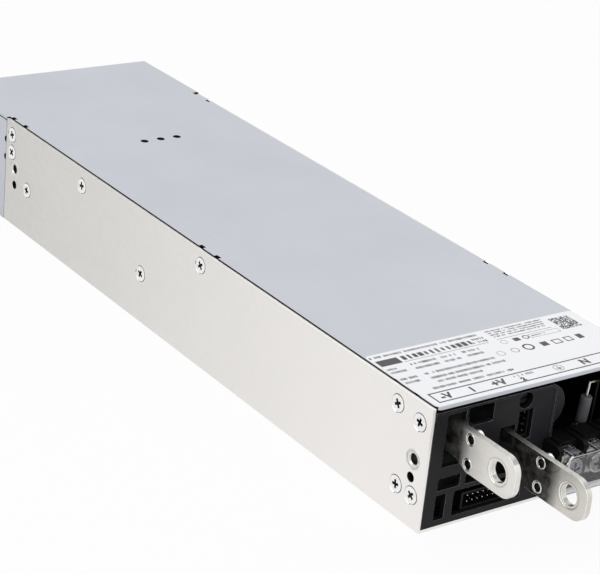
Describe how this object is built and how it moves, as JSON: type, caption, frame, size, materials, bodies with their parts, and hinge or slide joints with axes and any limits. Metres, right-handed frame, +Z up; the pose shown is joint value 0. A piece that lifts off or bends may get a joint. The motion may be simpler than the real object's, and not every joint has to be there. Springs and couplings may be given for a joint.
{
  "type": "switching power supply",
  "caption": "Long flat enclosed switching power supply with fans at one end, and output blades, signal headers and a mains terminal block at the other.",
  "frame": {"origin": "centre of the flat underside of the case", "axes": "+X along the case towards the terminals, +Y across, +Z up from the underside"},
  "size_m": [0.3344, 0.085, 0.0411],
  "materials": {
    "galvanised_steel": "bare galvanised sheet, satin",
    "coated_steel": "pre-coated blue-grey sheet, satin",
    "white_label": "white polyester label",
    "zinc_screws": "zinc-plated steel",
    "nickel_steel": "nickel-plated steel",
    "tinned_copper": "tin-plated copper, satin",
    "black_moulding": "black flame-retardant moulding",
    "black_rotor": "black moulded impeller",
    "clear_plastic": "clear moulded plastic",
    "gold_pins": "gold-flashed square pins",
    "bright_steel": "ground steel",
    "motor_winding": "enamelled copper wire",
    "circuit_board": "green solder resist",
    "film": "polyester insulating film",
    "blue_plastic": "blue moulded trimmer case",
    "white_plastic": "white moulded rotor",
    "heatsink_aluminium": "plain aluminium",
    "black_package": "black moulded packages",
    "capacitor_sleeve": "dark shrink sleeve",
    "ferrite": "ground ferrite",
    "yellow_case": "yellow moulded case",
    "grey_sleeve": "grey heat-shrink sleeve"
  },
  "bodies": {
    "case": {"chassis": "galvanised_steel", "cover": "coated_steel", "label": "white_label", "wall_screws": "zinc_screws", "fan_screws": "zinc_screws", "board_screws": "zinc_screws", "mounting_inserts": "nickel_steel", "blade_nuts": "nickel_steel", "standoffs": "nickel_steel", "negative_blade": "tinned_copper", "positive_blade": "tinned_copper", "terminal_contacts": "tinned_copper", "front_bezel": "black_moulding", "terminal_block": "black_moulding", "signal_header": "black_moulding", "auxiliary_header": "black_moulding", "fan_frame_left": "black_moulding", "fan_frame_right": "black_moulding", "signal_header_pins": "gold_pins", "auxiliary_header_pins": "gold_pins", "fan_bearings_left": "bright_steel", "fan_bearings_right": "bright_steel", "fan_stator_left": "motor_winding", "fan_stator_right": "motor_winding", "transformer_winding": "motor_winding", "storage_inductors": "motor_winding", "filter_chokes": "motor_winding", "main_board": "circuit_board", "front_board": "circuit_board", "control_board": "circuit_board", "insulating_film": "film", "trimmer_body": "blue_plastic", "left_heatsink": "heatsink_aluminium", "right_heatsink": "heatsink_aluminium", "left_transistors": "black_package", "right_transistors": "black_package", "bridge_rectifier": "black_package", "relay": "black_package", "bulk_capacitors": "capacitor_sleeve", "output_capacitors": "capacitor_sleeve", "lying_capacitor": "capacitor_sleeve", "transformer_core": "ferrite", "film_capacitor": "yellow_case", "input_fuse": "grey_sleeve"},
    "fan_left": {"fan_rotor_left": "black_rotor", "fan_shaft_left": "bright_steel"},
    "fan_right": {"fan_rotor_right": "black_rotor", "fan_shaft_right": "bright_steel"},
    "trimmer": {"trimmer_rotor": "white_plastic"},
    "clear_cover": {"terminal_cover": "clear_plastic"},
    "earth_plate": {"earth_clamp": "tinned_copper"},
    "earth_fastener": {"earth_screw": "zinc_screws"},
    "neutral_plate": {"neutral_clamp": "tinned_copper"},
    "neutral_fastener": {"neutral_screw": "zinc_screws"},
    "line_plate": {"line_clamp": "tinned_copper"},
    "line_fastener": {"line_screw": "zinc_screws"}
  },
  "joints": [
    {"name": "fan_left_spin", "type": "hinge", "parent": "case", "child": "fan_left", "pos_m": [-0.135, -0.0191, 0.0205], "axis": [1, 0, 0], "continuous": true},
    {"name": "fan_right_spin", "type": "hinge", "parent": "case", "child": "fan_right", "pos_m": [-0.135, 0.0191, 0.0205], "axis": [1, 0, 0], "continuous": true},
    {"name": "trimmer_turn", "type": "hinge", "parent": "case", "child": "trimmer", "pos_m": [0.147, -0.0069, 0.036], "axis": [1, 0, 0], "range_deg": [-135, 135]},
    {"name": "clear_cover_swing", "type": "hinge", "parent": "case", "child": "clear_cover", "pos_m": [0.1552, 0.0186, 0.0192], "axis": [0, -1, 0], "range_deg": [0, 90]},
    {"name": "earth_plate_slide", "type": "slide", "parent": "case", "child": "earth_plate", "axis": [1, 0, 0], "range_m": [0, 0.0021]},
    {"name": "earth_screw_turn", "type": "hinge", "parent": "earth_plate", "child": "earth_fastener", "pos_m": [0.156, 0.0086, 0.0136], "axis": [1, 0, 0], "range_deg": [0, 1080]},
    {"name": "neutral_plate_slide", "type": "slide", "parent": "case", "child": "neutral_plate", "axis": [1, 0, 0], "range_m": [0, 0.0021]},
    {"name": "neutral_screw_turn", "type": "hinge", "parent": "neutral_plate", "child": "neutral_fastener", "pos_m": [0.156, 0.0186, 0.0136], "axis": [1, 0, 0], "range_deg": [0, 1080]},
    {"name": "line_plate_slide", "type": "slide", "parent": "case", "child": "line_plate", "axis": [1, 0, 0], "range_m": [0, 0.0021]},
    {"name": "line_screw_turn", "type": "hinge", "parent": "line_plate", "child": "line_fastener", "pos_m": [0.156, 0.0286, 0.0136], "axis": [1, 0, 0], "range_deg": [0, 1080]}
  ],
  "couplings": [
    {"joint": "earth_screw_turn", "follows": "earth_plate_slide", "rad_per_m": 8976},
    {"joint": "neutral_screw_turn", "follows": "neutral_plate_slide", "rad_per_m": 8976},
    {"joint": "line_screw_turn", "follows": "line_plate_slide", "rad_per_m": 8976}
  ]
}
